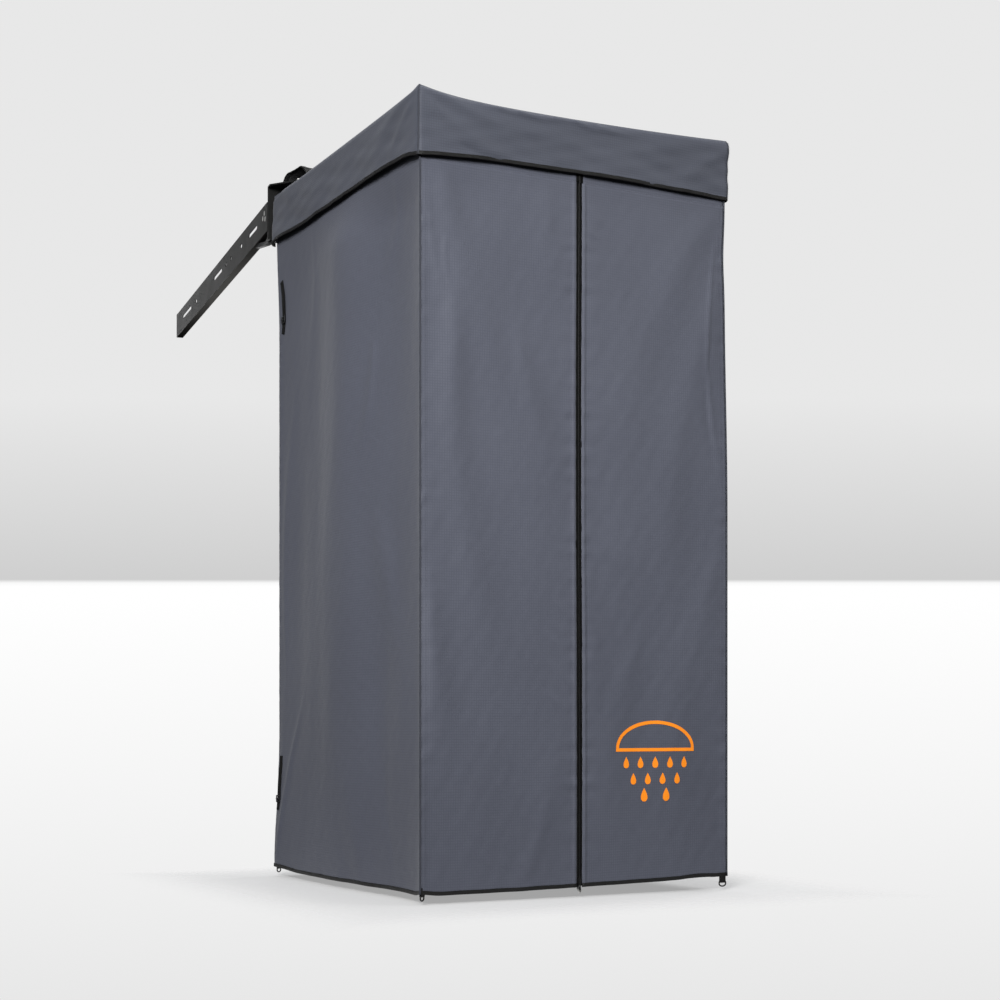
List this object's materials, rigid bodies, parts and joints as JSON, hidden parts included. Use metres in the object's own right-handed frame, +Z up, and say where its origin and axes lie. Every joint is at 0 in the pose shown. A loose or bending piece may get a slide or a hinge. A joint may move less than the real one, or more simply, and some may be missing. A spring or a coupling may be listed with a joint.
{
  "type": "privacy shower tent",
  "caption": "Tall square fabric shower tent hung from swinging fan arms on a slotted backing channel, with a zipped front and a roof valance.",
  "frame": {"origin": "point on the outer face of the backing channel, half way up its web, that lies against the vehicle's rack", "axes": "+Z up, +X along the front wall from the hub side to the far side, +Y from the front wall to the back wall; the channel stands 7.3 degrees off +Y"},
  "size_m": [1.0175, 2.8747, 2.3185],
  "materials": {
    "slate_cloth": "matt ripstop weave",
    "tape_cloth": "matt woven tape",
    "webbing": "ribbed webbing",
    "cover_cloth": "coated cloth, slight sheen",
    "black_plastic": "fine moulded grain",
    "black_steel": "satin black paint",
    "channel_paint": "textured powder coat",
    "zinc_steel": "zinc plated",
    "arm_aluminium": "satin anodised"
  },
  "bodies": {
    "vehicle_mount": {"backing_channel": "channel_paint", "hub_bracket": "black_steel", "hub_brace": "black_steel", "channel_bolt_1": "zinc_steel", "channel_bolt_2": "zinc_steel", "channel_bolt_3": "zinc_steel", "pivot_bolt": "zinc_steel", "pivot_nut": "zinc_steel", "pivot_spacer_lower": "black_plastic", "pivot_washer_lower": "black_plastic", "pivot_washer_upper": "black_plastic", "pivot_spacer_upper": "black_plastic"},
    "canopy": {"arm_diagonal_eye": "black_plastic", "arm_diagonal_tube": "arm_aluminium", "arm_diagonal_corner_cap": "black_plastic", "roof_panel": "slate_cloth", "valance_front": "slate_cloth", "valance_binding_front": "tape_cloth", "valance_left": "slate_cloth", "valance_binding_left": "tape_cloth", "valance_right": "slate_cloth", "valance_binding_right": "tape_cloth", "valance_rear": "slate_cloth", "valance_binding_rear": "tape_cloth", "wall_left": "slate_cloth", "wall_right": "slate_cloth", "wall_rear": "slate_cloth", "front_header": "slate_cloth", "hem_left": "tape_cloth", "hem_right": "tape_cloth", "hem_rear": "tape_cloth", "corner_tab_front_left": "webbing", "corner_tab_front_right": "webbing", "corner_tab_rear_left": "webbing", "corner_tab_rear_right": "webbing", "tie_strap_upper": "webbing", "tie_strap_lower": "webbing", "tie_buckle_upper": "black_plastic", "tie_buckle_lower": "black_plastic"},
    "left_arm": {"arm_left_eye": "black_plastic", "arm_left_tube": "arm_aluminium", "arm_left_corner_cap": "black_plastic"},
    "rear_arm": {"arm_rear_eye": "black_plastic", "arm_rear_tube": "arm_aluminium", "arm_rear_corner_cap": "black_plastic", "storage_cover": "cover_cloth", "cover_mouth_binding": "tape_cloth"},
    "door_left": {"door_left": "slate_cloth", "door_hem_left": "tape_cloth", "zip_tape_left": "black_plastic"},
    "door_right": {"door_right": "slate_cloth", "door_hem_right": "tape_cloth", "zip_tape_right": "black_plastic"},
    "zip_slider": {"zip_slider": "black_plastic"},
    "zip_pull_outer": {"zip_pull_outer": "black_plastic"},
    "zip_pull_inner": {"zip_pull_inner": "black_plastic"},
    "ring_front_left": {"d_ring_front_left": "black_steel"},
    "ring_front_right": {"d_ring_front_right": "black_steel"},
    "ring_rear_left": {"d_ring_rear_left": "black_steel"},
    "ring_rear_right": {"d_ring_rear_right": "black_steel"}
  },
  "joints": [
    {"name": "fan_fold", "type": "hinge", "parent": "vehicle_mount", "child": "canopy", "pos_m": [-0.05086, -1.09743, 0.0475], "axis": [0, 0, 1], "range_deg": [0, 131.9], "deforming": ["roof_panel", "valance_front", "valance_binding_front", "valance_left", "valance_binding_left", "valance_right", "valance_binding_right", "valance_rear", "valance_binding_rear", "wall_left", "wall_right", "wall_rear", "front_header", "hem_left", "hem_right", "hem_rear", "corner_tab_front_left", "corner_tab_front_right", "corner_tab_rear_left", "corner_tab_rear_right", "tie_strap_upper", "tie_strap_lower", "tie_buckle_upper", "tie_buckle_lower"]},
    {"name": "left_arm_fold", "type": "hinge", "parent": "vehicle_mount", "child": "left_arm", "pos_m": [-0.05086, -1.09743, 0.0475], "axis": [0, 0, 1], "range_deg": [0, 175.5]},
    {"name": "rear_arm_fold", "type": "hinge", "parent": "vehicle_mount", "child": "rear_arm", "pos_m": [-0.05086, -1.09743, 0.0475], "axis": [0, 0, 1], "range_deg": [0, 82.5]},
    {"name": "door_left_swing", "type": "hinge", "parent": "canopy", "child": "door_left", "pos_m": [-0.11786, -2.17343, -1.1425], "axis": [0, 0, 1], "range_deg": [-100, 0]},
    {"name": "door_right_swing", "type": "hinge", "parent": "canopy", "child": "door_right", "pos_m": [0.87614, -2.17343, -1.1425], "axis": [0, 0, -1], "range_deg": [-100, 0]},
    {"name": "zip_slide", "type": "slide", "parent": "door_left", "child": "zip_slider", "axis": [0, 0, 1], "range_m": [0, 1.95]},
    {"name": "zip_pull_outer_swing", "type": "hinge", "parent": "zip_slider", "child": "zip_pull_outer", "pos_m": [0.37914, -2.17798, -2.1276], "axis": [1, 0, 0], "range_deg": [-165, 0]},
    {"name": "zip_pull_inner_swing", "type": "hinge", "parent": "zip_slider", "child": "zip_pull_inner", "pos_m": [0.37914, -2.16668, -2.1296], "axis": [-1, 0, 0], "range_deg": [-165, 0]},
    {"name": "ring_front_left_swing", "type": "hinge", "parent": "canopy", "child": "ring_front_left", "pos_m": [-0.11186, -2.16643, -2.1515], "axis": [0.7577, 0.6526, 0], "range_deg": [-70, 70]},
    {"name": "ring_front_right_swing", "type": "hinge", "parent": "canopy", "child": "ring_front_right", "pos_m": [0.86714, -2.17143, -2.1515], "axis": [1, 0, 0], "range_deg": [-70, 70]},
    {"name": "ring_rear_left_swing", "type": "hinge", "parent": "canopy", "child": "ring_rear_left", "pos_m": [-0.11286, -1.06543, -2.1515], "axis": [0.7577, 0.6526, 0], "range_deg": [-70, 70]},
    {"name": "ring_rear_right_swing", "type": "hinge", "parent": "canopy", "child": "ring_rear_right", "pos_m": [0.87114, -1.06543, -2.1515], "axis": [0.7577, 0.6526, 0], "range_deg": [-70, 70]}
  ],
  "couplings": [
    {"joint": "left_arm_fold", "follows": "fan_fold", "ratio": 1.3253},
    {"joint": "rear_arm_fold", "follows": "fan_fold", "ratio": 0.6219}
  ]
}
